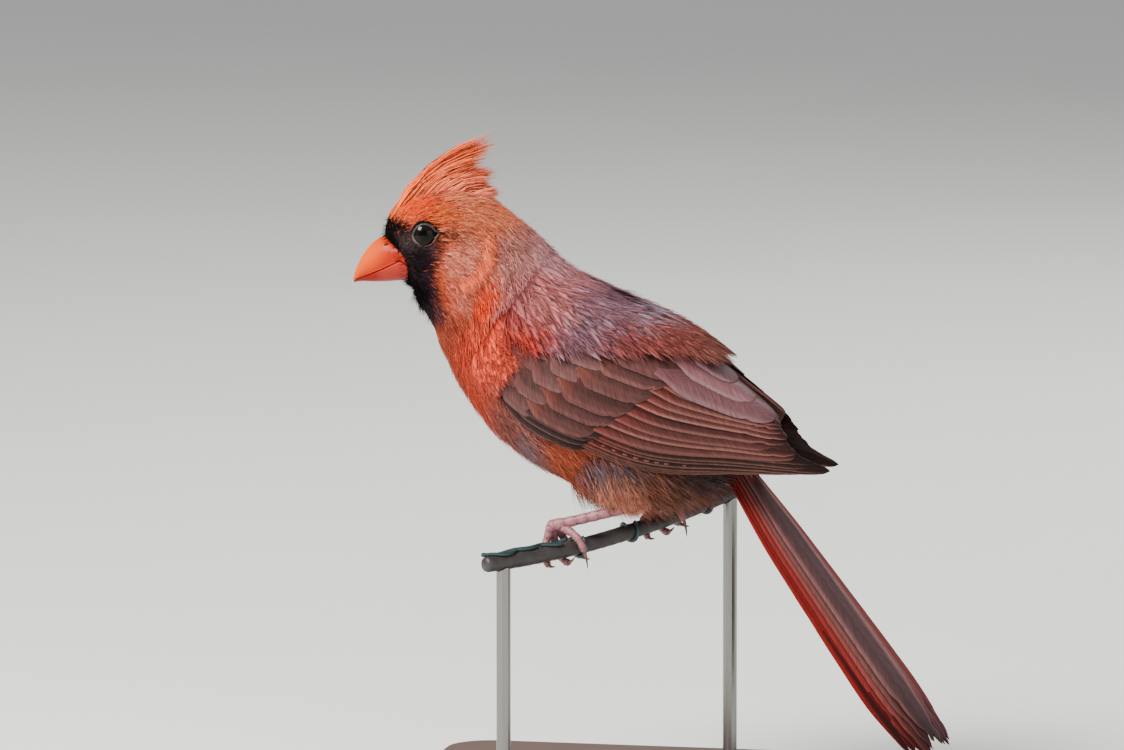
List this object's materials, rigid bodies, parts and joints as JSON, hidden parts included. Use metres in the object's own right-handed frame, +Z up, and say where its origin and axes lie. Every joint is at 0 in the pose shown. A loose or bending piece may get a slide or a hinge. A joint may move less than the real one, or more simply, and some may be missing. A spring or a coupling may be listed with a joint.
{
  "type": "perched songbird display model",
  "caption": "Life-size red crested songbird with long tail, thick seed-cracking bill and folded wings, gripping a short rod held on a flat base by rods.",
  "frame": {"origin": "middle of the underside of the stand's base", "axes": "+Z up, -X the way the bird looks, -Y the bird's left side"},
  "size_m": [0.1591, 0.086, 0.1752],
  "materials": {
    "body_plumage": "soft matte plumage, brick red to salmon, black round the bill",
    "flight_feathers": "matte wing and tail feathers, dusky pinkish brown with red edges",
    "bill": "smooth coral orange horn, slightly glossy",
    "eye": "dark brown iris and black pupil under a clear glossy surface",
    "leg_skin": "scaled mauve-pink skin, matte",
    "claw": "horn, darker at the tips",
    "perch_metal": "dark weathered coating",
    "base_wood": "dark stained wood, satin",
    "stand_metal": "brushed steel rod"
  },
  "bodies": {
    "root": {"head": "body_plumage", "eye_left": "eye", "eye_right": "eye", "bill_upper": "bill", "bill_lower": "bill", "neck": "body_plumage", "torso": "body_plumage", "wing_left": "flight_feathers", "wing_right": "flight_feathers", "tail": "flight_feathers", "thigh_left": "body_plumage", "tarsus_left": "leg_skin", "foot_left": "leg_skin", "claw_left_inner": "claw", "claw_left_middle": "claw", "claw_left_outer": "claw", "claw_left_hind": "claw", "thigh_right": "body_plumage", "tarsus_right": "leg_skin", "foot_right": "leg_skin", "claw_right_inner": "claw", "claw_right_middle": "claw", "claw_right_outer": "claw", "claw_right_hind": "claw", "perch_rod": "perch_metal", "stand_base": "base_wood", "stand_rod_front": "stand_metal", "stand_rod_back": "stand_metal"}
  },
  "joints": []
}
